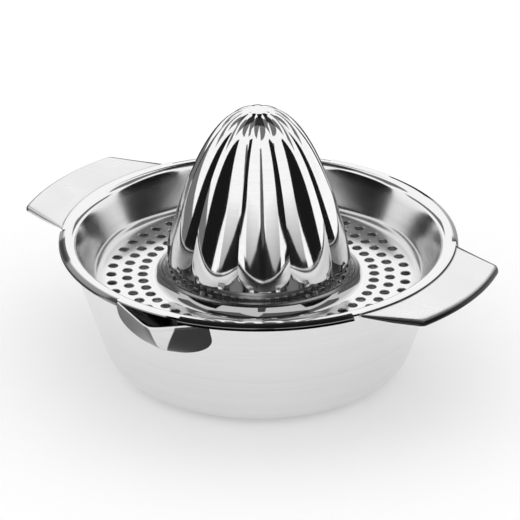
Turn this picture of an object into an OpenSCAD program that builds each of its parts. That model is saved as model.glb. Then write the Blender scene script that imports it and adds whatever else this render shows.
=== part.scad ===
// Hand citrus juicer: a spouted juice bowl and a lift-off insert with a perforated tray,
// a fluted reamer cone and two side handles. Millimetres, +Z up, base of the bowl at z = 0.
// The handles lie on the X axis and the spouts beside the Y axis, as far as the bowl is turned.

/* [Bowl] */
// Outside diameter of the bowl at its top edge
mouth_d = 143.8; // [130:0.2:170]
// Height of the bowl from the table to its top edge
bowl_h = 50.8; // [42:0.2:70]
// Diameter of the flat base
base_d = 91; // [70:1:100]
// Outside radius of the round corner between base and wall
base_corner_r = 13.4; // [8:0.2:18]
// Thickness of the pressed steel sheet
sheet = 0.8; // [0.6:0.1:1]

/* [Spouts] */
// How far a spout's nose stands out from the bowl's top edge
spout_reach = 4.5; // [4:0.1:9]
// Full width of a spout where its lip leaves the wall
spout_w = 40; // [32:0.5:46]
// Width of the blunt nose at the lip
nose_w = 4; // [2:0.5:8]
// Height of a spout from its lower point to the lip at its nose
spout_h = 14; // [10:0.5:22]
// Share of that height over which the round lower end widens to the full width
spout_round = 0.7; // [0.5:0.05:0.9]
// Exponent of the nose's profile, where a smaller one is rounder at the lower end
nose_power = 0.45; // [0.35:0.05:0.7]
// Height of the thickened band along the lip
lip_h = 2; // [1:0.1:3]
// How far the lip band stands proud of the facets
lip_out = 0.5; // [0.2:0.1:1]
// Room between the lip at the nose and the lower edge of the insert's flange
lip_clear = 2.6; // [0.4:0.1:4]
// How far the bowl stands turned under the loose insert, in degrees
bowl_turn = 2.5; // [-4:0.5:4]

/* [Insert rim] */
// Half width of the rim, and radius of its inner shoulder
bead_r = 3.5; // [3:0.1:4.5]
// Radius of the rim's rolled outer edge
edge_r = 1.8; // [1.6:0.1:2.4]
// Straight length of the flange below the rolled edge
flange_drop = 0.3; // [0.2:0.1:2]
// Room between the bowl's top edge and the rim that sits on it
seat_gap = 0.3; // [0.2:0.05:0.5]
// How far the cut-outs reach past the inside face of the flange
edge_trim = 0.2; // [0.1:0.05:0.4]
// Half angle of the flange cut-out over each spout
spout_cut_a = 10.5; // [8:0.5:13]
// Half angle of the relief between the flange and each side of a handle
relief_a = 1.6; // [1:0.1:3]

/* [Strainer tray] */
// Depth of the tray floor below the crown of the rim
tray_depth = 16; // [13:0.5:22]
// Slope of the tray wall from the vertical, in degrees
tray_wall_a = 25; // [20:1:30]
// Radius of the fillet between the tray wall and the floor
floor_fillet_r = 4.5; // [3:0.1:6]
// Diameter of a drain hole
hole_d = 3.7; // [2.5:0.1:4.5]
// Least metal between neighbouring holes of the inner ring
hole_bridge = 2; // [1.5:0.1:4]
// Least distance from one ring of holes to the next
ring_pitch = 5.6; // [5:0.1:8]
// Plain land between the holes and each fillet
hole_land = 1.7; // [1:0.1:3]

/* [Reamer] */
// Diameter over the lobes near the foot of the reamer
reamer_d = 70.4; // [60:0.2:76]
// Height from the seam on the collar to the flat tip
reamer_h = 58.5; // [45:0.5:75]
// Number of lobes
lobes = 10; // [8:1:12]
// Turn of the lobes from the handles, in degrees
lobe_turn = 1.2; // [-18:0.1:18]
// Depth of the flutes between neighbouring lobes, which shrinks towards the tip as the lobes do
flute_depth = 1.4; // [1:0.1:3]
// Further depth of the flutes at their foot
foot_depth = 1.1; // [0:0.1:2]
// Exponent of the further depth, where a larger one keeps it nearer the foot
foot_power = 6; // [2:1:10]
// Exponent of the domed profile, where a smaller one is blunter
dome_power = 0.42; // [0.36:0.01:0.5]
// Diameter of the flat tip
tip_d = 7.5; // [6:0.5:10]
// How far the seam lies inside the lobes' widest circle
seam_in = 0.9; // [0.5:0.1:1.5]
// Height of the plain band between the seam and the lobes
seam_band = 0.8; // [0.6:0.1:1.5]
// Rise of the shoulder from the plain band to the foot of each valley
shoulder_rise = 5; // [2:0.1:7]
// Height of the collar from the tray floor to the seam
collar_h = 9; // [7:0.1:12]
// Slope of the collar from the vertical, in degrees
collar_a = 5; // [0:1:20]
// Radius of the fillet between the collar and the tray floor
collar_fillet_r = 5.4; // [3:0.1:6.5]

/* [Handles] */
// Length of a handle from the rim cut-out to its outer edge
handle_len = 18.6; // [14:0.5:35]
// Width of a handle at the rim
handle_root_w = 68.5; // [50:0.5:80]
// Width of a handle at its outer corners
handle_tip_w = 53.6; // [40:0.2:64]
// Upward tilt of the handle plate, in degrees
handle_tilt = 2.5; // [0:0.5:10]
// Step from the rim's surface down to the plate at its root
handle_step = 0.25; // [0.1:0.05:0.4]
// Radius of the rolled outer edge
roll_r = 2.2; // [1.6:0.1:4]
// Height of the turned-down side edges
skirt_h = 2; // [1.4:0.1:4]
// Length over which a side edge grows to its full height
skirt_taper = 9; // [5:0.5:12]

/* [Hidden] */
$fn = 96;
// Hairline left at each welded seam
seam = 0.02;
// Overshoot of every cutting solid
over = 2;
// Straight pieces in each arc of a sheet profile
arc_steps = 8;
// Facets of the reamer: across each lobe's section, and from the tip to the foot
lobe_steps = 8;
dome_steps = 18;
// Sections of a spout from its lower point to its lip
beak_steps = 10;

// A list of points on an arc, from one angle to another
function arc(centre, r, from, to) =
    [for (i = [0:arc_steps]) let (a = from + (to - from) * i / arc_steps) centre + r * [cos(a), sin(a)]];
function reversed(list) = [for (i = [len(list) - 1:-1:0]) list[i]];

// Bowl: the wall runs from the top edge and touches the corner's circle
mouth_r = mouth_d / 2;
corner_c = [base_d / 2, base_corner_r];
to_edge = [mouth_r, bowl_h] - corner_c;
wall_a = acos(base_corner_r / norm(to_edge)) - atan2(to_edge[1], to_edge[0]);
edge_w = sheet / cos(wall_a);
// Outside radius of the conical wall at height z
function wall_r(z) = mouth_r - (bowl_h - z) * tan(wall_a);

// Rim: its flat crown is centred over the bowl's top edge
rim_r = mouth_r - edge_w / 2;
crown_z = bowl_h + seat_gap + sheet;
rim_out = rim_r + bead_r;
shoulder_c = [rim_r, crown_z - bead_r];
edge_c = [rim_out - edge_r, crown_z - edge_r];
flange_z = edge_c[1] - flange_drop;
cut_r = rim_out - sheet - edge_trim;
handle_a = asin(handle_root_w / 2 / cut_r);

// Tray: centres of the fillets beside the wall and beside the collar
floor_z = crown_z - tray_depth;
wall_top = shoulder_c + bead_r * [-cos(tray_wall_a), sin(tray_wall_a)];
wall_run = (wall_top[1] - floor_z - floor_fillet_r * (1 - sin(tray_wall_a))) / cos(tray_wall_a);
floor_c = [
    wall_top[0] - wall_run * sin(tray_wall_a) - floor_fillet_r * cos(tray_wall_a),
    floor_z + floor_fillet_r
];
reamer_r = reamer_d / 2;
seam_r = reamer_r - seam_in;
seam_z = floor_z + collar_h;
seam_w = sheet / cos(collar_a);
collar_run = (collar_h - collar_fillet_r * (1 - sin(collar_a))) / cos(collar_a);
collar_c = [
    seam_r + collar_run * sin(collar_a) + collar_fillet_r * cos(collar_a),
    floor_z + collar_fillet_r
];

// Drain holes: rings spread evenly over the flat floor
hole_in_r = collar_c[0] + hole_land + hole_d / 2;
hole_out_r = floor_c[0] - hole_land - hole_d / 2;
rings = 1 + max(0, floor((hole_out_r - hole_in_r) / max(ring_pitch, hole_d + hole_bridge)));
ring_step = (hole_out_r - hole_in_r) / max(1, rings - 1);
holes = floor(180 / asin((hole_d + hole_bridge) / 2 / hole_in_r));

// Spout: height of the nose's lip and of the lower point, and the plane inside the wall where the beak ends
lip_z = flange_z - lip_clear;
point_z = lip_z - spout_h;
nose_out = mouth_r + spout_reach - wall_r(lip_z);
beak_back = sqrt(pow(wall_r(point_z), 2) - pow(spout_w / 2, 2)) - over;
facet_w = sheet * norm([1, nose_out / spout_h + tan(wall_a)]);
// Share of the spout's height at each section up to the bowl's edge, closer together at the round lower end
top_share = (bowl_h - point_z) / spout_h;
beak_shares = [for (i = [0:beak_steps]) top_share * pow((i + 0.5) / (beak_steps + 0.5), 2)];
// Half width where a section meets the wall
function beak_w(share) = spout_w / 2 * sqrt(1 - pow(1 - min(1, share / spout_round), 2));
// Corner points of the beak's section at a share of its height, raised by a step and moved out by a step
function beak_section(share, out, raised = 0) =
    let (
        z = point_z + share * spout_h + raised,
        r = wall_r(point_z + share * spout_h),
        half = beak_w(share),
        tip = half * nose_w / spout_w,
        root = sqrt(r * r - half * half) + out,
        nose = r + nose_out * pow(share, nose_power) + out
    )
    [
        [-half, -beak_back, z], [-half, -root, z], [-tip, -nose, z],
        [tip, -nose, z], [half, -root, z], [half, -beak_back, z]
    ];

// Reamer: radius of a crest at a share of the dome's depth, which starts just above the flat tip
tip_z = seam_z + reamer_h;
tip_share = pow(tip_d / 2 / reamer_r, 1 / dome_power);
function row_share(i) = tip_share + (1 - tip_share) * pow(i / dome_steps, 2);
function crest_r(share) = reamer_r * pow(share, dome_power);
// Outward normal of the crest's profile, as [radial, up]
share_step = 0.001;
function crest_slope(share) =
    (crest_r(share + share_step) - crest_r(share - share_step)) / (2 * share_step * reamer_h);
function crest_normal(share) = [1, crest_slope(share)] / norm([1, crest_slope(share)]);
// Each lobe is a round arc from valley to valley: its centre as a share of the crest radius, and its end
half_pitch = 180 / lobes;
function valley(share) = 1 - (flute_depth + foot_depth * pow(share, foot_power)) / reamer_r;
function lobe_c(share) = (1 - pow(valley(share), 2)) / 2 / (1 - valley(share) * cos(half_pitch));
function lobe_end(share) =
    atan2(valley(share) * sin(half_pitch), valley(share) * cos(half_pitch) - lobe_c(share));
// Height of the crests' foot at side 0, and the share at which a meridian ends nearer the valleys at -1 and 1
foot_z = seam_z + seam_band;
function foot_share(side) =
    1 - (1 - tip_share) * shoulder_rise * (1 - sqrt(1 - side * side)) / (tip_z - foot_z);
// A point of the fluted surface, or of its inside at a depth below it, with row 1 at the foot
function lobe_point(row, lobe, side, depth) =
    let (
        down = (row - tip_share) / (1 - tip_share),
        share = tip_share + (foot_share(side) - tip_share) * down,
        c = lobe_c(share),
        turn = lobe_end(share) * side,
        section = crest_r(share) * [c + (1 - c) * cos(turn), (1 - c) * sin(turn)],
        normal = crest_normal(share),
        r = norm(section) - depth * normal[0],
        a = atan2(section[1], section[0]) + (2 * lobe + 1) * half_pitch + lobe_turn,
        up = (1 - share) / (1 - tip_share)
    )
    [r * cos(a), r * sin(a), foot_z + (tip_z - foot_z) * up - depth * normal[1]];
// One closed row of points round the reamer, and the round row at its seam
sides = [for (j = [0:lobe_steps - 1]) 2 * j / lobe_steps - 1];
function lobe_row(row, depth) = [for (k = [0:lobes - 1], side = sides) lobe_point(row, k, side, depth)];
function seam_row(r) =
    [for (p = lobe_row(1, 0)) let (a = atan2(p[1], p[0])) [r * cos(a), r * sin(a), seam_z]];

// Handle: plate profile from the root to the rolled outer edge
handle_r = cut_r + handle_len;
plate_z = edge_c[1] + sqrt(pow(edge_r, 2) - pow(cut_r - edge_c[0], 2)) - handle_step;
plate_end = handle_r - roll_r * (1 + sin(handle_tilt));
function plate_top(r) = plate_z + (r - cut_r) * tan(handle_tilt);
roll_c = [handle_r - roll_r, plate_top(plate_end) - roll_r * cos(handle_tilt)];
root_x = sqrt(pow(cut_r, 2) - pow(handle_root_w / 2, 2));
tip_x = sqrt(pow(handle_r, 2) - pow(handle_tip_w / 2, 2));
side_slope = (handle_root_w - handle_tip_w) / 2 / (tip_x - root_x);
side_in = sheet * norm([1, side_slope]);

// Bowl shell with a pouring notch behind each spout
module bowl() {
    outside = concat([[0, 0]], arc(corner_c, base_corner_r, -90, -wall_a), [[mouth_r, bowl_h]]);
    inside = concat(
        [[0, sheet]], arc(corner_c, base_corner_r - sheet, -90, -wall_a), [[mouth_r - edge_w, bowl_h]]
    );
    color("silver") rotate([0, 0, bowl_turn]) difference() {
        rotate_extrude() polygon(concat(outside, reversed(inside)));
        for (turn = [0, 180]) rotate([0, 0, turn]) beak_hollow();
    }
}

// Solid through a stack of sections, listed from the lowest to the highest
module beak(sections) {
    n = len(sections[0]);
    last = (len(sections) - 1) * n;
    sides = [for (i = [0:len(sections) - 2], j = [0:n - 1]) let (low = i * n, k = (j + 1) % n) each [
        [low + n + j, low + n + k, low + k],
        [low + n + j, low + k, low + j]
    ]];
    caps = [[for (j = [0:n - 1]) j], [for (j = [n - 1:-1:0]) last + j]];
    polyhedron([for (section = sections) each section], concat(sides, caps));
}

// Space inside a spout, which also opens the bowl's wall up to its top edge
module beak_hollow() {
    beak(concat(
        [for (share = beak_shares) beak_section(share, -facet_w)],
        [beak_section(top_share, -facet_w, over)]
    ));
}

// Space above the lip, which falls from the bowl's edge to the nose, lowered by a drop
module above_lip(drop) {
    side = spout_w / 2 + over;
    nose_z = lip_z - drop;
    side_z = nose_z + side * (bowl_h - lip_z) / (spout_w / 2);
    high = bowl_h + 2 * over;
    rotate([90, 0, 0]) linear_extrude(rim_out + spout_reach)
        polygon([[0, nose_z], [side, side_z], [side, high], [-side, high], [-side, side_z]]);
}

// Beak-shaped spout with a blunt nose and a thickened lip, welded over the notch
module spout() {
    low = point_z - over;
    high = bowl_h + over;
    difference() {
        union() {
            beak([for (share = beak_shares) beak_section(share, 0)]);
            intersection() {
                beak([for (share = beak_shares) beak_section(share, lip_out)]);
                above_lip(lip_h);
            }
        }
        above_lip(0);
        beak_hollow();
        translate([0, 0, low]) cylinder(h = high - low, r1 = wall_r(low) + seam, r2 = wall_r(high) + seam);
    }
}

module front_spout() {
    color("gainsboro") rotate([0, 0, bowl_turn]) spout();
}

module rear_spout() {
    color("gainsboro") rotate([0, 0, bowl_turn + 180]) spout();
}

// Cutter that takes the flange away over a sector
module flange_cut(half_a) {
    rotate([0, 0, -half_a]) rotate_extrude(angle = 2 * half_a)
        translate([cut_r, flange_z - over]) square([bead_r, crown_z - flange_z + 2 * over]);
}

// Pressed tray: flange, bead, wall, perforated floor and the collar that carries the reamer
module strainer_tray() {
    top = concat(
        [[rim_out, flange_z]],
        arc(edge_c, edge_r, 0, 90),
        arc(shoulder_c, bead_r, 90, 180 - tray_wall_a),
        arc(floor_c, floor_fillet_r, -tray_wall_a, -90),
        arc(collar_c, collar_fillet_r, 270, 180 + collar_a),
        [[seam_r, seam_z]]
    );
    under = concat(
        [[rim_out - sheet, flange_z]],
        arc(edge_c, edge_r - sheet, 0, 90),
        arc(shoulder_c, bead_r - sheet, 90, 180 - tray_wall_a),
        arc(floor_c, floor_fillet_r + sheet, -tray_wall_a, -90),
        arc(collar_c, collar_fillet_r + sheet, 270, 180 + collar_a),
        [[seam_r - seam_w, seam_z]]
    );
    color("lightgray") difference() {
        rotate_extrude() polygon(concat(top, reversed(under)));
        for (i = [0:rings - 1], j = [0:holes - 1])
            rotate([0, 0, 360 * (j + (i + 1) % 2 / 2) / holes])
                translate([hole_in_r + i * ring_step, 0, floor_z - sheet - over])
                    cylinder(h = sheet + 2 * over, d = hole_d, $fn = 24);
        for (turn = [0, 180]) rotate([0, 0, turn]) flange_cut(handle_a + relief_a);
        for (turn = [90, 270]) rotate([0, 0, turn]) flange_cut(spout_cut_a);
    }
}

// Hollow fluted dome, open below, seamed on the tray's collar
module reamer_cone() {
    outside = concat([for (i = [0:dome_steps]) each lobe_row(row_share(i), 0)], seam_row(seam_r));
    inside = concat([for (i = [0:dome_steps]) each lobe_row(row_share(i), sheet)], seam_row(seam_r - seam_w));
    row = lobe_steps * lobes;
    half = len(outside);
    tips = [[0, 0, tip_z], [0, 0, tip_z - sheet]];
    function next(j) = (j + 1) % row;
    quads = [for (i = [0:dome_steps], j = [0:row - 1])
        [i * row + j, i * row + next(j), (i + 1) * row + next(j), (i + 1) * row + j]];
    last = (dome_steps + 1) * row;
    faces = concat(
        [for (q = quads) each [[q[0], q[1], q[2]], [q[0], q[2], q[3]]]],
        [for (q = quads) each [[q[0], q[2], q[1]] + half * [1, 1, 1], [q[0], q[3], q[2]] + half * [1, 1, 1]]],
        [for (j = [0:row - 1]) [2 * half, next(j), j]],
        [for (j = [0:row - 1]) [2 * half + 1, half + j, half + next(j)]],
        [for (j = [0:row - 1]) each [
            [last + j, last + next(j), half + last + next(j)],
            [last + j, half + last + next(j), half + last + j]
        ]]
    );
    color("whitesmoke") translate([0, 0, seam]) polyhedron(concat(outside, inside, tips), faces);
}

// Plan of the handle between its two straight sides, drawn in by a margin
module handle_plan(margin) {
    near = root_x - handle_len;
    far = handle_r + over;
    function half(x) = handle_root_w / 2 - (x - root_x) * side_slope - margin;
    polygon([[near, half(near)], [far, half(far)], [far, -half(far)], [near, -half(near)]]);
}

// A profile turned through the handle's sector
module handle_turn(profile) {
    sector = handle_a + relief_a;
    rotate([0, 0, -sector]) rotate_extrude(angle = 2 * sector) polygon(profile);
}

// Pressed plate with a rolled outer edge and turned-down sides, welded to the rim's edge
module handle() {
    root = cut_r + seam;
    normal_a = 90 + handle_tilt;
    top = concat([[root, plate_top(root)]], arc(roll_c, roll_r, normal_a, 0));
    under = concat(
        [[root, plate_top(root) - sheet / cos(handle_tilt)]], arc(roll_c, roll_r - sheet, normal_a, 0)
    );
    skirt_z = min(roll_c[1], plate_top(root + skirt_taper) - skirt_h);
    side = concat(top, [[handle_r, skirt_z], [root + skirt_taper, skirt_z], under[0]]);
    low = roll_c[1] - skirt_h - roll_r - over;
    height = crown_z + roll_r + handle_len + over - low;
    intersection() {
        handle_turn(concat(top, reversed(under)));
        translate([0, 0, low]) linear_extrude(height) handle_plan(0);
    }
    intersection() {
        handle_turn(side);
        translate([0, 0, low]) linear_extrude(height) difference() {
            handle_plan(0);
            handle_plan(side_in);
        }
    }
}

module left_handle() {
    color("gainsboro") rotate([0, 0, 180]) handle();
}

module right_handle() {
    color("gainsboro") handle();
}

bowl();
front_spout();
rear_spout();
strainer_tray();
reamer_cone();
left_handle();
right_handle();
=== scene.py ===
"""Looks of the hand citrus juicer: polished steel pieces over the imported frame, in metres."""
import math

import bmesh
import bpy
from mathutils import Matrix, Vector


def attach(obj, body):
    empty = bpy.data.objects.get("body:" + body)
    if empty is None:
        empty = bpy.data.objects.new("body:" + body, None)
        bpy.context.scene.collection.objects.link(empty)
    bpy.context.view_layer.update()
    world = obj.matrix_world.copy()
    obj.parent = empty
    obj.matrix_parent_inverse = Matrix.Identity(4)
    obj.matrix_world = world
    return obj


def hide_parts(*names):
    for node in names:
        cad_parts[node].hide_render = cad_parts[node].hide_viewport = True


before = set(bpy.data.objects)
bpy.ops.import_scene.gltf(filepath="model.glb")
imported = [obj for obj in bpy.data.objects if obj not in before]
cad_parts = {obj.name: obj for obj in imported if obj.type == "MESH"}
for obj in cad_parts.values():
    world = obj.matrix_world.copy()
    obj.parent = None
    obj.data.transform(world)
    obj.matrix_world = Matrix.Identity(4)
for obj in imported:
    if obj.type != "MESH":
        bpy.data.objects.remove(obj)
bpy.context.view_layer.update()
scene = bpy.context.scene
MM = 0.001


def sin(a):
    return math.sin(math.radians(a))


def cos(a):
    return math.cos(math.radians(a))


def tan(a):
    return math.tan(math.radians(a))


def mix(a, b, t):
    return a + (b - a) * t


def arc(centre, r, start, end, steps):
    """Points on an arc from one angle to another, in degrees."""
    turns = [mix(start, end, i / steps) for i in range(steps + 1)]
    return [(centre[0] + r * cos(a), centre[1] + r * sin(a)) for a in turns]


def line(a, b, steps):
    """Points from a to b, without the two ends."""
    return [(mix(a[0], b[0], i / steps), mix(a[1], b[1], i / steps)) for i in range(1, steps)]


# Sizes in millimetres, with the handles along X and the spouts close to Y
SHEET = 0.8
SEAM_GAP = 0.02
MOUTH_R = 71.9
BOWL_H = 50.8
BASE_R = 45.5
CORNER_R = 13.4
BOWL_TURN = 2.5
corner_c = (BASE_R, CORNER_R)
to_edge = Vector((MOUTH_R, BOWL_H)) - Vector(corner_c)
wall_a = math.degrees(math.acos(CORNER_R / to_edge.length) - math.atan2(to_edge.y, to_edge.x))
edge_w = SHEET / cos(wall_a)

SPOUT_REACH = 4.5
SPOUT_W = 40
NOSE_W = 4
SPOUT_H = 14
SPOUT_ROUND = 0.7
NOSE_POWER = 0.45
LIP_H = 2
LIP_OUT = 0.5
LIP_CLEAR = 2.6

BEAD_R = 3.5
EDGE_R = 1.8
FLANGE_DROP = 0.3
SPOUT_CUT_A = 10.5
RELIEF_A = 1.6
SEAT_GAP = 0.3
CUT_BACK = 0.2
rim_r = MOUTH_R - edge_w / 2
crown_z = BOWL_H + SEAT_GAP + SHEET
rim_out = rim_r + BEAD_R
shoulder_c = (rim_r, crown_z - BEAD_R)
flange_z = crown_z - EDGE_R - FLANGE_DROP
cut_r = rim_out - SHEET - CUT_BACK

TRAY_DEPTH = 16
TRAY_WALL_A = 25
FLOOR_FILLET = 4.5
floor_z = crown_z - TRAY_DEPTH
wall_top = (shoulder_c[0] - BEAD_R * cos(TRAY_WALL_A), shoulder_c[1] + BEAD_R * sin(TRAY_WALL_A))
wall_run = (wall_top[1] - floor_z - FLOOR_FILLET * (1 - sin(TRAY_WALL_A))) / cos(TRAY_WALL_A)
wall_foot_r = wall_top[0] - wall_run * sin(TRAY_WALL_A)
floor_c = (wall_foot_r - FLOOR_FILLET * cos(TRAY_WALL_A), floor_z + FLOOR_FILLET)

REAMER_R = 35.2
REAMER_H = 58.5
LOBES = 10
LOBE_TURN = 1.2
FLUTE_DEPTH = 1.4
FOOT_DEPTH = 1.1
FOOT_POWER = 6
TIP_FLUTE = 0.06
TIP_POWER = 8
DOME_POWER = 0.42
TIP_R = 3.75
SEAM_BAND = 0.8
SEAM_INSET = 0.9
SHOULDER_RISE = 5
COLLAR_H = 9
COLLAR_A = 5
COLLAR_FILLET = 5.4
seam_r = REAMER_R - SEAM_INSET
seam_z = floor_z + COLLAR_H
collar_run = (COLLAR_H - COLLAR_FILLET * (1 - sin(COLLAR_A))) / cos(COLLAR_A)
collar_c = (seam_r + collar_run * sin(COLLAR_A) + COLLAR_FILLET * cos(COLLAR_A), floor_z + COLLAR_FILLET)

HOLE_R = 1.85
HOLES = 48
RINGS = 3
HOLE_LAND = 1.7
hole_in_r = collar_c[0] + HOLE_LAND + HOLE_R
hole_out_r = floor_c[0] - HOLE_LAND - HOLE_R
ring_step = (hole_out_r - hole_in_r) / (RINGS - 1)

HANDLE_LEN = 18.6
HANDLE_ROOT_W = 68.5
HANDLE_TIP_W = 53.6
HANDLE_TILT = 2.5
ROLL_R = 2.2
SKIRT_H = 2
SKIRT_TAPER = 9
PLATE_DROP = 0.25
handle_a = math.degrees(math.asin(HANDLE_ROOT_W / 2 / cut_r))
handle_r = cut_r + HANDLE_LEN - SEAM_GAP
edge_c = (rim_out - EDGE_R, crown_z - EDGE_R)
plate_z = edge_c[1] + math.sqrt(EDGE_R**2 - (cut_r - edge_c[0]) ** 2) - PLATE_DROP


def plate_top(r):
    """Height of a handle's plate at a radius."""
    return plate_z + (r - cut_r) * tan(HANDLE_TILT)


def wall_r(z):
    """Outside radius of the bowl's conical wall at height z."""
    return MOUTH_R - (BOWL_H - z) * tan(wall_a)


# Meshes
SHARP_A = 22
WELD = 0.002


def piece(name, points, faces, sharp=SHARP_A):
    """Object from points in millimetres, smooth except at edges sharper than an angle in degrees."""
    mesh = bpy.data.meshes.new(name)
    mesh.from_pydata([Vector(p) * MM for p in points], [], faces)
    bm = bmesh.new()
    bm.from_mesh(mesh)
    bmesh.ops.remove_doubles(bm, verts=bm.verts, dist=WELD * MM)
    bmesh.ops.recalc_face_normals(bm, faces=bm.faces)
    bm.to_mesh(mesh)
    bm.free()
    mesh.shade_smooth()
    mesh.set_sharp_from_angle(angle=math.radians(sharp))
    obj = bpy.data.objects.new(name, mesh)
    scene.collection.objects.link(obj)
    return obj


def ring(r, z, angles):
    """Points on a level circle."""
    return [(r * cos(a), r * sin(a), z) for a in angles]


def lathe(profile, angles, keep=None):
    """Points and faces of a profile turned about Z, where keep(i, angle) chooses the faces."""
    n = len(angles)
    points = [p for r, z in profile for p in ring(r, z, angles)]
    faces = []
    for i in range(len(profile) - 1):
        for j in range(n):
            k = (j + 1) % n
            middle = angles[j] + ((angles[k] - angles[j]) % 360) / 2
            if keep is None or keep(i, middle):
                faces.append((i * n + j, i * n + k, (i + 1) * n + k, (i + 1) * n + j))
    return points, faces


def joined(*parts):
    """One list of points and one of faces from several."""
    points, faces = [], []
    for more_points, more_faces in parts:
        start = len(points)
        points += more_points
        faces += [tuple(start + i for i in f) for f in more_faces]
    return points, faces


def cut(obj, tools):
    """Takes the tools away from an object's mesh, and removes them."""
    for tool in tools:
        mod = obj.modifiers.new("cut", "BOOLEAN")
        mod.operation = "DIFFERENCE"
        mod.solver = "EXACT"
        mod.object = tool
    mesh = bpy.data.meshes.new_from_object(obj.evaluated_get(bpy.context.evaluated_depsgraph_get()))
    obj.modifiers.clear()
    obj.data = mesh
    for tool in tools:
        bpy.data.objects.remove(tool)
    mesh.shade_smooth()
    mesh.set_sharp_from_angle(angle=math.radians(SHARP_A))
    mesh.name = obj.name


def turned(points, angle):
    """Points turned about Z."""
    spin = Matrix.Rotation(math.radians(angle), 3, "Z")
    return [spin @ Vector(p) for p in points]


# Bowl
COLUMNS = 192
AXIS_R = 0.01
full_turn = [360 * j / COLUMNS for j in range(COLUMNS)]


def bowl_profile():
    """Section of the bowl from the middle of its base up outside and down inside, as (r, z)."""
    lip = 0.3
    outside = arc(corner_c, CORNER_R, -90, -wall_a, 14)
    inside = arc(corner_c, CORNER_R - SHEET, -90, -wall_a, 14)
    top_out = (MOUTH_R - lip * tan(wall_a), BOWL_H - lip)
    top_in = (MOUTH_R - edge_w - lip * tan(wall_a), BOWL_H - lip)
    edge = [top_out, (MOUTH_R - 0.1, BOWL_H - 0.1), (MOUTH_R - lip, BOWL_H)]
    edge += [(MOUTH_R - edge_w + lip - 0.1, BOWL_H), (MOUTH_R - edge_w - 0.05, BOWL_H - 0.1), top_in]
    up = line(outside[-1], top_out, 12)
    down = line(top_in, inside[-1], 12)
    base = [(AXIS_R, 0)] + line((AXIS_R, 0), outside[0], 6)
    well = line(inside[0], (AXIS_R, SHEET), 6) + [(AXIS_R, SHEET)]
    return base + outside + up + edge + down + inside[::-1] + well


PAST = 2
lip_z = flange_z - LIP_CLEAR
point_z = lip_z - SPOUT_H
nose_out = MOUTH_R + SPOUT_REACH - wall_r(lip_z)
beak_back = math.sqrt(wall_r(point_z) ** 2 - (SPOUT_W / 2) ** 2) - PAST
facet_w = SHEET * math.hypot(1, nose_out / SPOUT_H + tan(wall_a))
top_share = (BOWL_H - point_z) / SPOUT_H
# Places across a spout from one end of its lip to the other, closer together on the round nose
flank = [1 - 0.08 * i for i in range(10)]
places = flank + [0.2 - 0.05 * i for i in range(9)] + [-q for q in flank[::-1]]


def lip_at(place):
    """Height of the lip, which falls from the bowl's edge to the nose."""
    return mix(lip_z, BOWL_H, abs(place))


def beak_point(share, place, out):
    """Point of a spout's outside at a share of its height, moved out by a step, with a round nose."""
    r = wall_r(point_z + share * SPOUT_H)
    half = SPOUT_W / 2 * math.sqrt(1 - (1 - min(1, share / SPOUT_ROUND)) ** 2)
    tip = half * NOSE_W / SPOUT_W
    root = math.sqrt(r * r - half * half)
    nose = r + nose_out * share**NOSE_POWER
    slope = (nose - root) / (half - tip)
    x = place * half
    fall = abs(x) - tip if abs(x) > 2 * tip else x * x / (4 * tip)
    return (x, slope * fall - nose - out, point_z + share * SPOUT_H)


def stack(rows):
    """Closed solid between rows of outside points, lowest first, and a plane inside the bowl's wall."""
    n = len(rows[0])
    points = [p for row in rows for p in row] + [(x, -beak_back, z) for row in rows for x, y, z in row]
    back = len(rows) * n
    faces = []
    for i in range(len(rows) - 1):
        quads = [(i * n + j, i * n + j + 1, (i + 1) * n + j + 1, (i + 1) * n + j) for j in range(n - 1)]
        faces += quads + [tuple(back + k for k in quad[::-1]) for quad in quads]
        faces += [(k, k + n, back + k + n, back + k) for k in (i * n, i * n + n - 1)]
    for low in (0, back - n):
        faces += [(low + j, low + j + 1, back + low + j + 1, back + low + j) for j in range(n - 1)]
    return points, faces


BEAK_ROWS = 30
shares = [((i + 0.5) / (BEAK_ROWS + 0.5)) ** 2 for i in range(BEAK_ROWS + 1)]


def beak_hollow(turn):
    """Tool for a spout's inside and for the gap behind it in the bowl's wall."""
    rows = [[beak_point(s * top_share, q, -facet_w) for q in places] for s in shares]
    rows.append([(x, y, z + PAST) for x, y, z in rows[-1]])
    points, faces = stack(rows)
    return piece("hollow", turned(points, turn), faces)


def spout(name, turn):
    """Beak-shaped spout with a blunt nose and a thickened, rounded lip."""
    soft = 0.35
    band = [(LIP_H + soft, 0), (LIP_H, 0.3), (LIP_H - 0.3, LIP_OUT)]
    band += [(soft, LIP_OUT), (0.1, LIP_OUT - 0.1), (0, LIP_OUT - soft)]
    rows = []
    for s in shares[:-2]:
        tops = [lip_at(q) - band[0][0] for q in places]
        rows.append([beak_point(s * (top - point_z) / SPOUT_H, q, 0) for q, top in zip(places, tops)])
    for below, out in band:
        rows.append([beak_point((lip_at(q) - below - point_z) / SPOUT_H, q, out) for q in places])
    points, faces = stack(rows)
    obj = piece(name, turned(points, turn), faces)
    z0, z1 = point_z - PAST, BOWL_H + PAST
    wall = [(AXIS_R, z0), (wall_r(z0), z0), (wall_r(z1), z1), (AXIS_R, z1)]
    cut(obj, [beak_hollow(turn), piece("wall", *lathe(wall, full_turn))])
    return obj


bowl = piece("bowl_shell", *lathe(bowl_profile(), full_turn))
bowl.data.transform(Matrix.Rotation(math.radians(BOWL_TURN), 4, "Z"))
cut(bowl, [beak_hollow(BOWL_TURN), beak_hollow(BOWL_TURN + 180)])
spout_front = spout("spout_front", BOWL_TURN)
spout_rear = spout("spout_rear", BOWL_TURN + 180)

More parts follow.
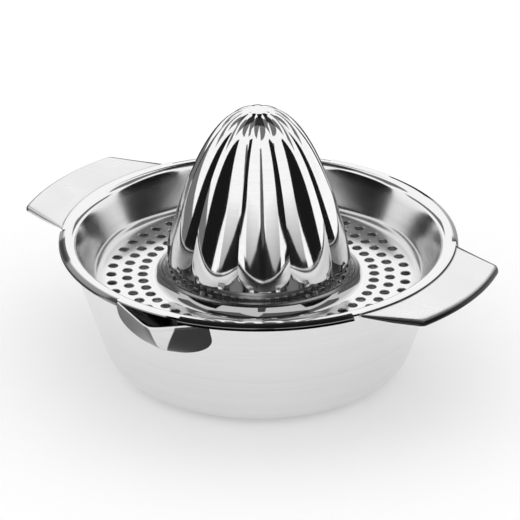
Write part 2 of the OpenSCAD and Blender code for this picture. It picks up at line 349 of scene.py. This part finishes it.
# Strainer tray
FACE_A = 13
FACE_ROUND = 0.4
SLOPE_A = 22
SLOPE_RUN = 2.6
slope_r = rim_out - SLOPE_RUN
FLAT = 0.8
handle_cut = handle_a + RELIEF_A
cut_outs = ((0, handle_cut), (90, SPOUT_CUT_A), (180, handle_cut), (270, SPOUT_CUT_A))
cut_ends = [middle + side * half for middle, half in cut_outs for side in (-1, 1)]
tray_turn = sorted(set(full_turn) | {a % 360 for a in cut_ends})


def in_cut(angle):
    """True over the handles and the spouts, where the flange is cut away."""
    over_handle = abs((angle + 90) % 180 - 90) < handle_cut
    over_spout = abs(angle % 180 - 90) < SPOUT_CUT_A
    return over_handle or over_spout


def rim_profile():
    """Flange from its lower inside edge up its face and its slope to the crown, as (r, z)."""
    lip = 0.25
    bottom = [(rim_out - SHEET, flange_z + lip), (rim_out - SHEET + lip, flange_z), (rim_out - lip, flange_z)]
    face = [(rim_out - 0.07, flange_z + 0.07), (rim_out - lip * tan(FACE_A), flange_z + lip)]
    outer = cos(FACE_A) * rim_out + sin(FACE_A) * flange_z - FACE_ROUND
    upper = sin(SLOPE_A) * slope_r + cos(SLOPE_A) * crown_z - FACE_ROUND
    both = cos(FACE_A + SLOPE_A)
    r = (outer * cos(SLOPE_A) - upper * sin(FACE_A)) / both
    z = (upper * cos(FACE_A) - outer * sin(SLOPE_A)) / both
    return bottom + face + arc((r, z), FACE_ROUND, FACE_A, 90 - SLOPE_A, 8) + [(slope_r, crown_z)]


def tray_shell():
    """Pressed sheet from the rim to the floor and from the floor up the collar, with the flange cut-outs."""
    rim = rim_profile()
    shoulder = arc(shoulder_c, BEAD_R, 90, 180 - TRAY_WALL_A, 14)
    fillet = arc(floor_c, FLOOR_FILLET, -TRAY_WALL_A, -90, 12)
    wall = line(shoulder[-1], fillet[0], 8)
    land = (floor_c[0] - FLAT, floor_z)
    top = rim + [(rim_r + 0.5, crown_z)] + shoulder + wall + fillet + [land]
    low_fillet = arc(floor_c, FLOOR_FILLET + SHEET, -90, -TRAY_WALL_A, 12)
    low_shoulder = arc(shoulder_c, BEAD_R - SHEET, 180 - TRAY_WALL_A, 90, 10)
    under = [(land[0], floor_z - SHEET)] + low_fillet + line(low_fillet[-1], low_shoulder[0], 6)
    under += low_shoulder + [(cut_r, crown_z - SHEET)] + arc(edge_c, EDGE_R - SHEET, 75, 0, 6) + [rim[0]]
    i_cut = len(rim) - 1
    i_under = under.index((cut_r, crown_z - SHEET))
    upper = lathe(top, tray_turn, lambda i, a: i >= i_cut or not in_cut(a))
    lower = lathe(under, tray_turn, lambda i, a: i < i_under or not in_cut(a))
    step = [(cut_r, crown_z - SHEET), (cut_r, crown_z), (slope_r, crown_z)]
    edge = lathe(step, tray_turn, lambda i, a: in_cut(a))
    section = rim + under[i_under:-1]
    ends = [
        ([(r * cos(a), r * sin(a), z) for r, z in outline], [tuple(range(len(outline)))])
        for a in cut_ends
        for outline in (section, step)
    ]
    collar = [(collar_c[0] + FLAT, floor_z)] + arc(collar_c, COLLAR_FILLET, 270, 180 + COLLAR_A, 12)
    collar += line(collar[-1], (seam_r, seam_z), 4) + [(seam_r, seam_z)]
    collar += [(seam_r - SHEET / cos(COLLAR_A), seam_z)]
    collar += arc(collar_c, COLLAR_FILLET + SHEET, 180 + COLLAR_A, 270, 10)
    collar.append((collar_c[0] + FLAT, floor_z - SHEET))
    return joined(upper, lower, edge, lathe(collar, full_turn), *ends)


def hole_cell(i, j):
    """Patch of the tray floor round one drain hole with a softened edge."""
    mid = hole_in_r + i * ring_step
    inner = collar_c[0] + FLAT if i == 0 else mid - ring_step / 2
    outer = floor_c[0] - FLAT if i == RINGS - 1 else mid + ring_step / 2
    pitch = 360 / HOLES
    turn = pitch * (j + (i + 1) % 2 / 2)
    fan = [turn + pitch * k / 4 for k in (-2, -1, 0, 1, 2)]
    rim = [(inner, a) for a in fan] + [(mid, fan[-1])] + [(outer, a) for a in fan[::-1]] + [(mid, fan[0])]
    border = [Vector((r * cos(a), r * sin(a))) for r, a in rim]
    centre = Vector((mid * cos(turn), mid * sin(turn)))
    rays = []
    for k, p in enumerate(border):
        a, b = (p - centre).normalized(), (border[(k + 1) % len(border)] - centre).normalized()
        rays += [a, (a + b).normalized()]
    rows = [(HOLE_R + 0.2, 0), (HOLE_R + 0.05, 0.08), (HOLE_R, 0.25)]
    rows += [(HOLE_R, SHEET - 0.15), (HOLE_R + 0.1, SHEET)]
    n, m = len(border), len(rays)
    points = [(*p, floor_z) for p in border] + [(*p, floor_z - SHEET) for p in border]
    points += [(*(centre + d * r), floor_z - down) for r, down in rows for d in rays]
    faces = []
    for k in range(n):
        for base, row in ((0, 2 * n), (n, 2 * n + (len(rows) - 1) * m)):
            steps = [row + (2 * k + s) % m for s in (2, 1, 0)]
            faces.append((base + k, base + (k + 1) % n, *steps))
    for row in range(len(rows) - 1):
        low = 2 * n + row * m
        faces += [(low + k, low + (k + 1) % m, low + m + (k + 1) % m, low + m + k) for k in range(m)]
    return points, faces


cells = [hole_cell(i, j) for i in range(RINGS) for j in range(HOLES)]
tray = piece("tray_shell", *joined(tray_shell(), *cells))

# Reamer
half_pitch = 180 / LOBES
tip_z = seam_z + REAMER_H
foot_z = seam_z + SEAM_BAND
tip_share = (TIP_R / REAMER_R) ** (1 / DOME_POWER)
DOME_ROWS = 64
WEB_ROWS = 3
LOBE_STEPS = 28
SMALL = 0.001


def crest_r(share):
    """Radius over the lobes at a share of the way down from the cone's apex."""
    return REAMER_R * share**DOME_POWER


def lobe_point(row, lobe, side, depth):
    """Point of the fluted dome, or of its inside at a depth, with side from -1 to 1 across a lobe."""
    rise = SHOULDER_RISE * (1 - math.sqrt(1 - side * side)) / (tip_z - foot_z)
    share = mix(tip_share, 1 - (1 - tip_share) * rise, (row - tip_share) / (1 - tip_share))
    flute = (FLUTE_DEPTH + FOOT_DEPTH * share**FOOT_POWER) / REAMER_R
    v = 1 - flute - TIP_FLUTE * (1 - share) ** TIP_POWER
    c = (1 - v * v) / 2 / (1 - v * cos(half_pitch))
    turn = math.atan2(v * sin(half_pitch), v * cos(half_pitch) - c) * side
    x, y = c + (1 - c) * math.cos(turn), (1 - c) * math.sin(turn)
    slope = (crest_r(share + SMALL) - crest_r(share - SMALL)) / (2 * SMALL * REAMER_H)
    lean = math.hypot(1, slope)
    r = crest_r(share) * math.hypot(x, y) - depth / lean
    a = math.atan2(y, x) + math.radians((2 * lobe + 1) * half_pitch + LOBE_TURN)
    up = (1 - share) / (1 - tip_share)
    return (r * math.cos(a), r * math.sin(a), mix(foot_z, tip_z, up) - depth * slope / lean)


def dome(depth, collar_r):
    """Rows of the dome from its tip to the round seam on the collar."""
    sides = [2 * j / LOBE_STEPS - 1 for j in range(LOBE_STEPS)]
    rows = []
    for i in range(DOME_ROWS + 1):
        share = mix(tip_share, 1, (i / DOME_ROWS) ** 2)
        rows.append([lobe_point(share, k, s, depth) for k in range(LOBES) for s in sides])
    feet = rows[-1]
    turns = [math.atan2(p[1], p[0]) for p in feet]
    seam = [(collar_r * math.cos(a), collar_r * math.sin(a), seam_z) for a in turns]
    for i in range(1, WEB_ROWS + 1):
        t = i / WEB_ROWS
        rows.append([tuple(mix(a, b, t) for a, b in zip(p, q)) for p, q in zip(feet, seam)])
    n = len(feet)
    points = [p for row in rows for p in row] + [(0, 0, tip_z - depth)]
    faces = [(len(points) - 1, j, (j + 1) % n) for j in range(n)]
    for low in range(0, (len(rows) - 1) * n, n):
        faces += [(low + j, low + (j + 1) % n, low + n + (j + 1) % n, low + n + j) for j in range(n)]
    return points, faces


reamer = piece("reamer_dome", *joined(dome(0, seam_r), dome(SHEET, seam_r - SHEET / cos(COLLAR_A))))

# Handles
root_x = math.sqrt(cut_r**2 - (HANDLE_ROOT_W / 2) ** 2)
tip_x = math.sqrt(handle_r**2 - (HANDLE_TIP_W / 2) ** 2)
side_slope = (HANDLE_ROOT_W - HANDLE_TIP_W) / 2 / (tip_x - root_x)
side_lean = math.hypot(1, side_slope)
CORNER = 1.3
SIDE_ROUND = 1.2
SIDE_SHARP_A = 40
ACROSS = 24


def side_angle(r, margin):
    """Angle from X at which a circle meets the straight side of a handle, drawn in by a margin."""
    reach = HANDLE_ROOT_W / 2 + root_x * side_slope - margin * side_lean
    return math.degrees(math.asin(reach / (r * side_lean)) - math.atan(side_slope))


def handle(name, turn):
    """Pressed plate with a rolled outer edge, turned-down sides and rounded corners."""
    root = cut_r + SEAM_GAP
    end = handle_r - ROLL_R * (1 + sin(HANDLE_TILT))
    roll_c = (handle_r - ROLL_R, plate_top(end) - ROLL_R * cos(HANDLE_TILT))
    skirt_z = min(roll_c[1], plate_top(root + SKIRT_TAPER) - SKIRT_H)
    start = (root, plate_top(root))
    rows = [start] + line(start, (end, plate_top(end)), 14)
    rows += arc(roll_c, ROLL_R, 90 + HANDLE_TILT, 0, 14) + [(handle_r, skirt_z + 0.05)]
    points = []
    for r, z in rows:
        grown = min(1, (r - root) / SKIRT_TAPER)
        low = mix(plate_top(root) - SHEET, skirt_z, grown)
        bend = min(SIDE_ROUND, 0.45 * (z - low))
        past = max(0, r - handle_r + CORNER)
        inset = CORNER - math.sqrt(CORNER**2 - past**2)
        side = [(bend * (1 - sin(t)), bend * (1 - cos(t))) for t in (0, 22.5, 45, 67.5, 90)]
        edge = [(side_angle(r, inset + m), z - drop) for m, drop in side] + [(side_angle(r, inset), low)]
        flat = [(mix(-1, 1, j / ACROSS) * edge[0][0], z) for j in range(1, ACROSS)]
        across = [(-a, h) for a, h in edge[::-1]] + flat + edge
        points += [(r * cos(a), r * sin(a), h) for a, h in across]
    n = len(points) // len(rows)
    faces = []
    for low in range(0, (len(rows) - 1) * n, n):
        faces += [(low + j, low + n + j, low + n + j + 1, low + j + 1) for j in range(n - 1)]
    obj = piece(name, turned(points, turn), faces, sharp=SIDE_SHARP_A)
    thick = obj.modifiers.new("sheet", "SOLIDIFY")
    thick.thickness = SHEET * MM
    thick.offset = -1
    return obj


handle_right = handle("handle_right", 0)
handle_left = handle("handle_left", 180)


# Materials
CLOUDS = 55
LINE_DEPTH = 0.02


def add(tree, kind, inputs=None, **values):
    """Adds a shader node, whose inputs are numbers or other nodes' outputs."""
    made = tree.nodes.new("ShaderNode" + kind)
    for key, value in values.items():
        setattr(made, key, value)
    for key, value in (inputs or {}).items():
        if isinstance(value, bpy.types.NodeSocket):
            tree.links.new(value, made.inputs[key])
        else:
            made.inputs[key].default_value = value
    return made


def calc(tree, operation, *values):
    """Result of a sum on numbers or other nodes' outputs."""
    return add(tree, "Math", dict(enumerate(values)), operation=operation).outputs[0]


def ramp(tree, value, start, end, low=0, high=1):
    """Even passage from low to high while a value goes from start to end."""
    ends = {"From Min": start, "From Max": end, "To Min": low, "To Max": high}
    return add(tree, "MapRange", {"Value": value, **ends}).outputs["Result"]


def places_of(tree):
    """Place on the part, its three parts and its distance from the upright axis."""
    coord = add(tree, "TexCoord").outputs["Object"]
    x, y, z = add(tree, "SeparateXYZ", {0: coord}).outputs
    flat = add(tree, "CombineXYZ", {0: x, 1: y}).outputs[0]
    radius = add(tree, "VectorMath", {0: flat}, operation="LENGTH").outputs["Value"]
    return coord, x, y, z, radius


def steel(name, tint, rough, spread, lines, depth, round_axis=True, zones=()):
    """Polished stainless steel with fine polishing lines and cloudy gloss, whose zones by radius differ in
    roughness and in a painted shade on the tone.
    """
    mat = bpy.data.materials.new(name)
    mat.use_nodes = True
    tree = mat.node_tree
    coord, x, y, z, radius = places_of(tree)
    track = add(tree, "CombineXYZ", {0: radius, 1: z} if round_axis else {0: y}).outputs[0]
    fine = {"Vector": track, "Scale": lines, "Detail": 4, "Roughness": 0.7}
    broad = {"Vector": coord, "Scale": CLOUDS, "Detail": 5, "Distortion": 0.6}
    hair = add(tree, "TexNoise", fine).outputs["Fac"]
    cloud = add(tree, "TexNoise", broad).outputs["Fac"]
    gloss = ramp(tree, cloud, 0.3, 0.7, rough, rough + spread)
    tone = ramp(tree, hair, 0.3, 0.7, 0.95 * tint, tint)
    for start, end, matt, shade in zones:
        within = (start * MM, end * MM)
        gloss = calc(tree, "MULTIPLY", gloss, ramp(tree, radius, *within, *matt))
        tone = calc(tree, "MULTIPLY", tone, ramp(tree, radius, *within, *shade))
    bump = add(tree, "Bump", {"Height": hair, "Strength": depth, "Distance": LINE_DEPTH * MM}).outputs[0]
    shader = tree.nodes["Principled BSDF"]
    shader.inputs["Metallic"].default_value = 1
    tree.links.new(tone, shader.inputs["Base Color"])
    tree.links.new(gloss, shader.inputs["Roughness"])
    tree.links.new(bump, shader.inputs["Normal"])
    return mat


def shaded(mat, light):
    """Multiplies a steel's tone by a shade."""
    tree = mat.node_tree
    shader = tree.nodes["Principled BSDF"]
    tone = shader.inputs["Base Color"].links[0].from_socket
    tree.links.new(calc(tree, "MULTIPLY", tone, light), shader.inputs["Base Color"])


def shade_flanks(mat):
    """Painted shade: darkens a spout's two flanks below the lip, and leaves the nose bright on one side of
    its ridge.
    """
    tree = mat.node_tree
    coord = add(tree, "TexCoord").outputs["Object"]
    turn = {"Vector": coord, "Angle": -math.radians(BOWL_TURN)}
    square = add(tree, "VectorRotate", turn, rotation_type="Z_AXIS").outputs[0]
    x, y, z = add(tree, "SeparateXYZ", {0: square}).outputs
    across = calc(tree, "MULTIPLY", calc(tree, "MULTIPLY", x, calc(tree, "SIGN", y)), -1 / MM)
    high = calc(tree, "MULTIPLY_ADD", z, 1 / MM, -point_z)
    aside = calc(tree, "ABSOLUTE", across)
    lip = calc(tree, "MULTIPLY_ADD", aside, 2 * (BOWL_H - lip_z) / SPOUT_W, SPOUT_H)
    below = ramp(tree, calc(tree, "SUBTRACT", lip, high), 0.7, 1.3)
    right = ramp(tree, calc(tree, "MULTIPLY_ADD", high, -0.52, across), 1.2, 1.6)
    left = ramp(tree, across, -0.7, -1.3)
    fade = ramp(tree, calc(tree, "MULTIPLY_ADD", aside, 0.6, high), 3, 13, 0.76, 0.94)
    dark = calc(tree, "MULTIPLY_ADD", left, fade, calc(tree, "MULTIPLY", right, 0.95))
    shaded(mat, calc(tree, "MULTIPLY_ADD", calc(tree, "MULTIPLY", dark, below), -1, 1))


def shade_edges(mat):
    """Painted shade: darkens a handle's steep edges and the lines along its back and its left end."""
    tree = mat.node_tree
    normal = add(tree, "NewGeometry").outputs["Normal"]
    out_x, out_y, steep = add(tree, "SeparateXYZ", {0: normal}).outputs
    edge = ramp(tree, calc(tree, "ABSOLUTE", steep), 0.7, 0.985, 1, 0)
    front_left = calc(tree, "MULTIPLY", ramp(tree, out_y, -0.3, -0.7), ramp(tree, out_x, 0.1, -0.1))
    edge = calc(tree, "MULTIPLY", edge, calc(tree, "SUBTRACT", 1, front_left))
    coord, x, y, z, radius = places_of(tree)
    reach = calc(tree, "MULTIPLY_ADD", calc(tree, "ABSOLUTE", x), side_slope, y)
    limit = (HANDLE_ROOT_W / 2 + root_x * side_slope) * MM
    back = ramp(tree, reach, limit - 1.7 * MM, limit - 1.1 * MM)
    rolled = ramp(tree, radius, (handle_r - 1.8) * MM, (handle_r - 1) * MM)
    end = calc(tree, "MULTIPLY", rolled, ramp(tree, x, 0, -MM))
    dark = calc(tree, "MAXIMUM", edge, calc(tree, "MAXIMUM", back, end))
    shaded(mat, calc(tree, "MULTIPLY_ADD", dark, -0.94, 1))


def shade_slope(mat):
    """Painted shade: darkens the sloping flange outside the crown of the tray's rim."""
    tree = mat.node_tree
    coord, x, y, z, radius = places_of(tree)
    low = ramp(tree, z, (crown_z - 0.1) * MM, (crown_z - 0.4) * MM)
    out = ramp(tree, radius, (slope_r - 0.2) * MM, slope_r * MM)
    shaded(mat, calc(tree, "MULTIPLY_ADD", calc(tree, "MULTIPLY", low, out), -0.7, 1))


bowl_steel = steel("bowl_steel", 0.84, 0.2, 0.06, 900, 0.25)
spout_steel = steel("spout_steel", 0.84, 0.14, 0.05, 900, 0.1)
mirror_steel = steel("mirror_steel", 0.94, 0.05, 0.03, 700, 0.06)
# Radii between which the tray changes, with the factors on its roughness and tone: collar, wall and rim; the
# tone factors are painted shade, darker on the collar and the wall, and the rim's factor takes the wall's
# shade off again
tray_zones = [
    (37.5, 39.5, (0.3, 1), (0.55, 1)),
    (57, 60, (1, 1.1), (1, 0.8)),
    (67, 69, (1, 0.4), (1, 1.22)),
]
tray_steel = steel("tray_steel", 0.94, 0.14, 0.05, 700, 0.1, zones=tray_zones)
handle_steel = steel("handle_steel", 0.93, 0.26, 0.06, 900, 0.12, round_axis=False)
# Painted shade on the spouts' flanks
shade_flanks(spout_steel)
# Painted shade on the handles' edges
shade_edges(handle_steel)
# Painted shade on the tray's rim slope
shade_slope(tray_steel)
# Painted shade: a dark steel for the webs between the lobes' feet
web_painted_shade = steel("web_painted_shade", 0.16, 0.08, 0.04, 700, 0.08)

for obj, node_name, body, slot, mat in (
    (bowl, "bowl", "bowl", "bowl_steel", bowl_steel),
    (spout_front, "front_spout", "bowl", "bowl_steel", spout_steel),
    (spout_rear, "rear_spout", "bowl", "bowl_steel", spout_steel),
    (tray, "strainer_tray", "insert", "mirror_steel", tray_steel),
    (reamer, "reamer_cone", "insert", "mirror_steel", mirror_steel),
    (handle_left, "left_handle", "insert", "handle_steel", handle_steel),
    (handle_right, "right_handle", "insert", "handle_steel", handle_steel),
):
    obj.data.materials.clear()
    obj.data.materials.append(mat)
    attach(obj, body)
    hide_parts(node_name)

# Painted shade: dark webs between the lobes' feet, a dark steel put where shade falls between the lobes
WEB_SIDE = 0.6
reamer.data.materials.append(web_painted_shade)
around = LOBES * LOBE_STEPS
first = around * (DOME_ROWS + 1)
for i, face in enumerate(reamer.data.polygons[first : first + WEB_ROWS * around]):
    side = (2 * (i % LOBE_STEPS) + 1) / LOBE_STEPS - 1
    face.material_index = int(abs(side) > WEB_SIDE)


# Stage: floor, a white world and studio cards that only the polished metal sees
def plain(name, colour, strength=None):
    """A plain stage material, which glows where a strength is given."""
    mat = bpy.data.materials.new(name)
    mat.use_nodes = True
    shader = mat.node_tree.nodes["Principled BSDF"]
    shader.inputs["Base Color"].default_value = (*colour, 1)
    shader.inputs["Roughness"].default_value = 1
    shader.inputs["Specular IOR Level"].default_value = 0
    if strength is not None:
        shader.inputs["Emission Color"].default_value = (*colour, 1)
        shader.inputs["Emission Strength"].default_value = strength
    return mat


world = bpy.data.worlds.new("studio")
scene.world = world
world.use_nodes = True
world.node_tree.nodes["Background"].inputs["Color"].default_value = (1, 1, 1, 1)
world.node_tree.nodes["Background"].inputs["Strength"].default_value = 1

AZIMUTH = 33.3
ELEVATION = 26.2
FLOOR_Z = -0.05
floor = piece("floor", *lathe([(r, FLOOR_Z) for r in (AXIS_R, 400, 4000)], full_turn))
floor.data.materials.append(plain("floor_white", (0.8, 0.8, 0.8), 0.28))


def hidden(obj, mat):
    """Stage card that only reflections see."""
    obj.data.materials.append(mat)
    obj.visible_camera = False
    obj.visible_diffuse = False
    obj.visible_shadow = False


STAGE_R = 3000
STAGE_Z = 75
CARD_ROWS = 6
BEHIND = 60
ABOVE = 70


def card(name, outline, mat, r=STAGE_R):
    """Curved card round the part through (azimuth from the camera, lower elevation, upper elevation)."""
    points = []
    for az, low, high in outline:
        a = AZIMUTH - 90 + az
        for i in range(CARD_ROWS + 1):
            el = mix(low, high, i / CARD_ROWS)
            points.append((r * cos(el) * cos(a), r * cos(el) * sin(a), STAGE_Z + r * sin(el)))
    n = CARD_ROWS + 1
    faces = [
        (k * n + i, k * n + i + 1, (k + 1) * n + i + 1, (k + 1) * n + i)
        for k in range(len(outline) - 1)
        for i in range(CARD_ROWS)
    ]
    hidden(piece(name, points, faces), mat)


def glow(name, strength, top=None, rise=0):
    """Card of an even brightness, or of one that changes to another over a rise from the table."""
    mat = plain(name, (0, 0, 0), strength)
    shader = mat.node_tree.nodes["Principled BSDF"]
    shader.inputs["Emission Color"].default_value = (1, 1, 1, 1)
    if top is not None:
        tree = mat.node_tree
        z = add(tree, "SeparateXYZ", {0: add(tree, "TexCoord").outputs["Object"]}).outputs[2]
        tree.links.new(ramp(tree, z, 0, rise * MM, strength, top), shader.inputs["Emission Strength"])
    return mat


def sector(name, start, end, r, mat, z=0.5):
    """Card on the floor, beyond a radius and between two azimuths from the camera."""
    turns = [AZIMUTH - 90 + az for az in range(start, end + 1)]
    hidden(piece(name, *lathe([(r, z), (STAGE_R, z)], turns, lambda i, a: a < turns[-1])), mat)


black = glow("card_black", 0.01)
soot = glow("card_soot", 0.03)
dark = glow("card_dark", 0.1)
grey = glow("card_grey", 0.17)
pale = glow("card_pale", 0.28, 1, 1000)
flag_left = [(-94, -6, 8), (-91, -6, 22), (-85, -6, 34), (-76, -6, 44)]
flag_left += [(-64, -4, 50), (-55, 1, 40), (-48, 7, 28), (-42, 12, 16)]
flag_right = [(49, 10, 14), (53, 6, 24), (60, 2, 36), (68, -2, 46)]
flag_right += [(80, -6, 44), (89, -6, 32), (96, -6, 20), (99, -6, 6)]
hill = [(-43, -3, 1), (-30, -3, 1.5), (-22, -3, 4), (-12, -3, 7), (-3, -3, 11), (6, -3, 15)]
hill += [(12, -3, 9), (20, -3, 6), (28, -3, 3), (36, -3, 1), (50, -3, 1)]
back_foot = ((100, 37), (125, 39), (136, 43), (142, 47))
card("flag_left", flag_left, black)
card("flag_right", flag_right, black)
card("hill", hill, black)
card("column", [(-1, 8, 50), (9, 8, 50)], dark)
card("low_left", [(az, 0, 19) for az in range(-38, -4, 3)], pale, STAGE_R + BEHIND)
card("low_right", [(az, 0, 19) for az in range(13, 49, 5)], pale, STAGE_R + BEHIND)
card("back", [(az, 42, 66) for az in range(163, 198, 7)], black)
for side in (-1, 1):
    card("back_low", [(side * az, 16, 27) for az in range(109, 162, 4)], grey, STAGE_R + BEHIND)
    card("back_high", [(side * az, low, 62) for az, low in back_foot], grey, STAGE_R + BEHIND)
card("ceiling", [(az, 57, 90) for az in range(100, 261, 5)], soot, STAGE_R + ABOVE)
card("ceiling_right", [(az, 60, 90) for az in range(8, 101, 4)], grey, STAGE_R + ABOVE)
card("ceiling_left", [(az, 60, 90) for az in range(260, 329, 4)], grey, STAGE_R + ABOVE)
sector("table", -43, 50, 130, black)
sector("table_back", 150, 210, 130, soot)
sector("table_left", -150, -85, 150, grey)
sector("shade_left", -94, -57, 450, black, 1)
sector("shade_right", 60, 99, 450, black, 1)

# Camera
away = Vector((sin(AZIMUTH) * cos(ELEVATION), -cos(AZIMUTH) * cos(ELEVATION), sin(ELEVATION)))
right = Vector((cos(AZIMUTH), sin(AZIMUTH), 0))
up = away.cross(right)
PIXEL = 0.3746
AIM_DOWN = 24.6
AIM_RIGHT = 1.5
DISTANCE = 1476
target = Vector((0, 0, crown_z)) - up * AIM_DOWN * PIXEL + right * AIM_RIGHT * PIXEL
camera = bpy.data.objects.new("camera", bpy.data.cameras.new("camera"))
camera.data.sensor_width = 36
camera.data.lens = 272.8
camera.location = (target + away * DISTANCE) * MM
camera.rotation_mode = "QUATERNION"
camera.rotation_quaternion = away.to_track_quat("Z", "Y")
scene.collection.objects.link(camera)
scene.camera = camera
scene.view_settings.view_transform = "Standard"
